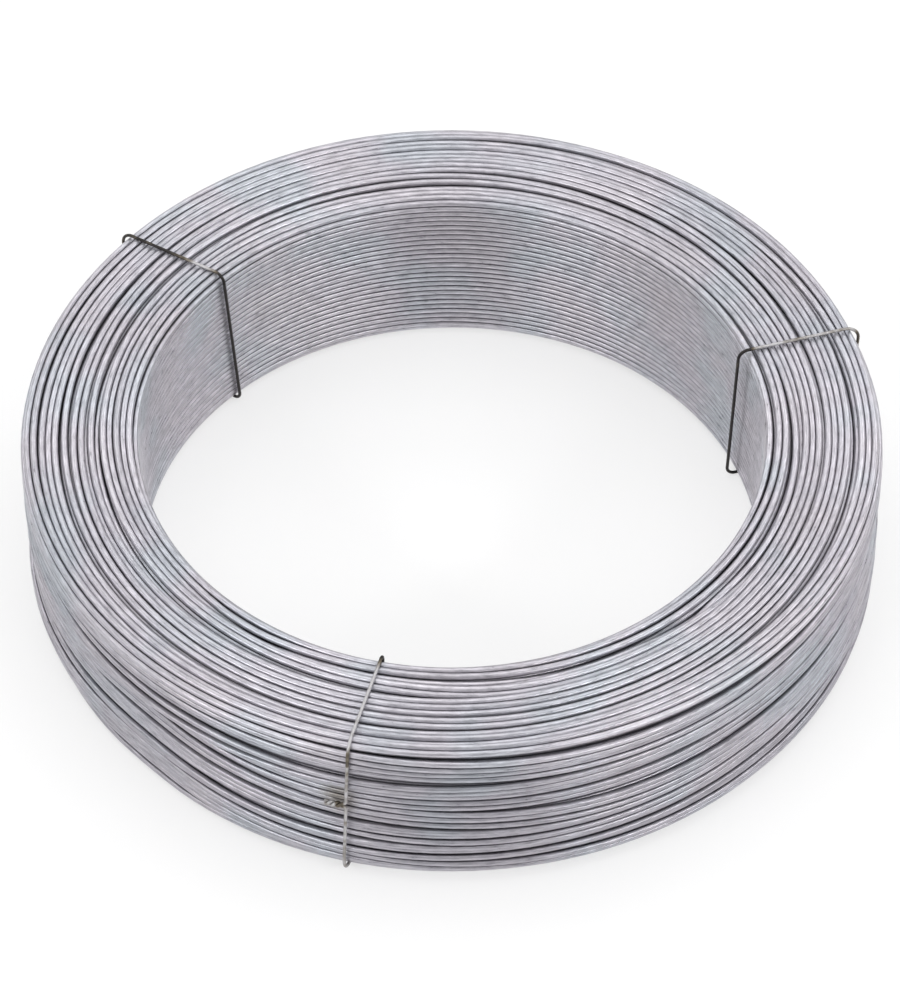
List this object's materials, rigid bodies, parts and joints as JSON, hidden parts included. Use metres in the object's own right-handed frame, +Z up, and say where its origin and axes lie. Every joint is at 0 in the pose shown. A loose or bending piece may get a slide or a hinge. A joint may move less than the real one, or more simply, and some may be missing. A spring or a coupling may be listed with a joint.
{
  "type": "coil of galvanised steel wire",
  "caption": "Flat-lying ring-shaped coil of smooth galvanised steel wire, wound many turns deep round an open bore and bound by twisted wire ties.",
  "frame": {"origin": "on the coil's axis, on the floor under the ties", "axes": "+Z up along the bore, -Y towards the front tie and the viewer, +X to the viewer's right"},
  "size_m": [0.26, 0.26, 0.0601],
  "materials": {
    "galvanised_wire": "satin, drawn and zinc-coated",
    "tie_wire": "dull, soft annealed wire with dark stretches"
  },
  "bodies": {
    "root": {"wire_coil": "galvanised_wire", "tie_left": "tie_wire", "tie_right": "tie_wire", "tie_front": "tie_wire"}
  },
  "joints": []
}
